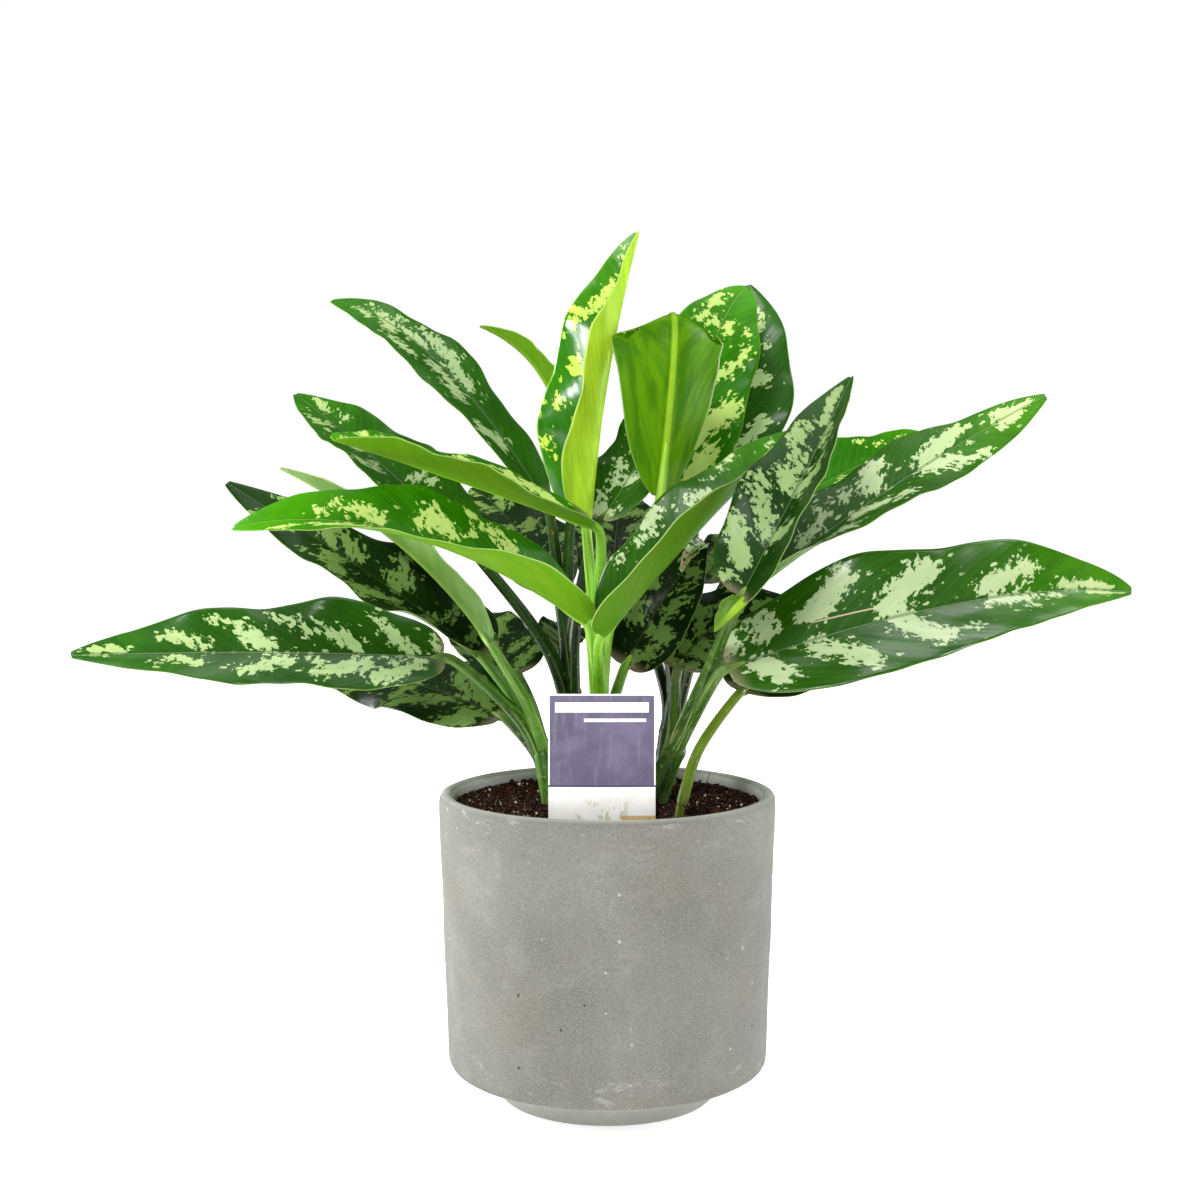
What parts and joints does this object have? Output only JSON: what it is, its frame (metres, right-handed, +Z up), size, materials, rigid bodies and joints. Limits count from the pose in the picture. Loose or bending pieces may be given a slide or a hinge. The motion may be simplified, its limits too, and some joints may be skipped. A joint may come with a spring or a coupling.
{
  "type": "potted plant",
  "caption": "Leafy evergreen houseplant with pointed, pale-blotched leaves on clustered stalks, standing in a round cement pot with a recessed foot and a blank stick-in label.",
  "frame": {"origin": "centre of the pot's foot, on the surface that it stands on", "axes": "+Z up, -Y toward the side that the label faces, +X to the right of that view"},
  "size_m": [0.4496, 0.2888, 0.3882],
  "materials": {
    "pot": "matte cast cement",
    "soil": "loose peat",
    "label": "satin printed card",
    "left_shoot": "satin",
    "left_leaf_1": "waxy",
    "left_leaf_2": "waxy",
    "left_leaf_3": "waxy",
    "left_leaf_4": "waxy",
    "left_leaf_5": "waxy",
    "centre_shoot": "satin",
    "centre_leaf_1": "waxy",
    "centre_leaf_2": "waxy",
    "centre_leaf_3": "waxy",
    "centre_leaf_4": "waxy",
    "centre_leaf_5": "waxy",
    "centre_leaf_6": "waxy",
    "right_shoot": "satin",
    "right_leaf_1": "waxy",
    "right_leaf_2": "waxy",
    "right_leaf_3": "waxy",
    "right_leaf_4": "waxy",
    "back_left_shoot": "satin",
    "back_left_leaf_1": "waxy",
    "back_left_leaf_2": "waxy",
    "back_left_leaf_3": "waxy",
    "back_left_leaf_4": "waxy",
    "back_left_leaf_5": "waxy",
    "back_left_leaf_6": "waxy",
    "back_right_shoot": "satin",
    "back_right_leaf_1": "waxy",
    "back_right_leaf_2": "waxy",
    "back_right_leaf_3": "waxy",
    "back_right_leaf_4": "waxy",
    "back_right_leaf_5": "waxy",
    "back_right_leaf_6": "waxy",
    "front_shoot": "satin",
    "front_leaf_1": "waxy"
  },
  "bodies": {
    "root": {"pot": "pot", "soil": "soil", "label": "label", "left_shoot": "left_shoot", "left_leaf_1": "left_leaf_1", "left_leaf_2": "left_leaf_2", "left_leaf_3": "left_leaf_3", "left_leaf_4": "left_leaf_4", "left_leaf_5": "left_leaf_5", "centre_shoot": "centre_shoot", "centre_leaf_1": "centre_leaf_1", "centre_leaf_2": "centre_leaf_2", "centre_leaf_3": "centre_leaf_3", "centre_leaf_4": "centre_leaf_4", "centre_leaf_5": "centre_leaf_5", "centre_leaf_6": "centre_leaf_6", "right_shoot": "right_shoot", "right_leaf_1": "right_leaf_1", "right_leaf_2": "right_leaf_2", "right_leaf_3": "right_leaf_3", "right_leaf_4": "right_leaf_4", "back_left_shoot": "back_left_shoot", "back_left_leaf_1": "back_left_leaf_1", "back_left_leaf_2": "back_left_leaf_2", "back_left_leaf_3": "back_left_leaf_3", "back_left_leaf_4": "back_left_leaf_4", "back_left_leaf_5": "back_left_leaf_5", "back_left_leaf_6": "back_left_leaf_6", "back_right_shoot": "back_right_shoot", "back_right_leaf_1": "back_right_leaf_1", "back_right_leaf_2": "back_right_leaf_2", "back_right_leaf_3": "back_right_leaf_3", "back_right_leaf_4": "back_right_leaf_4", "back_right_leaf_5": "back_right_leaf_5", "back_right_leaf_6": "back_right_leaf_6", "front_shoot": "front_shoot", "front_leaf_1": "front_leaf_1"}
  },
  "joints": []
}
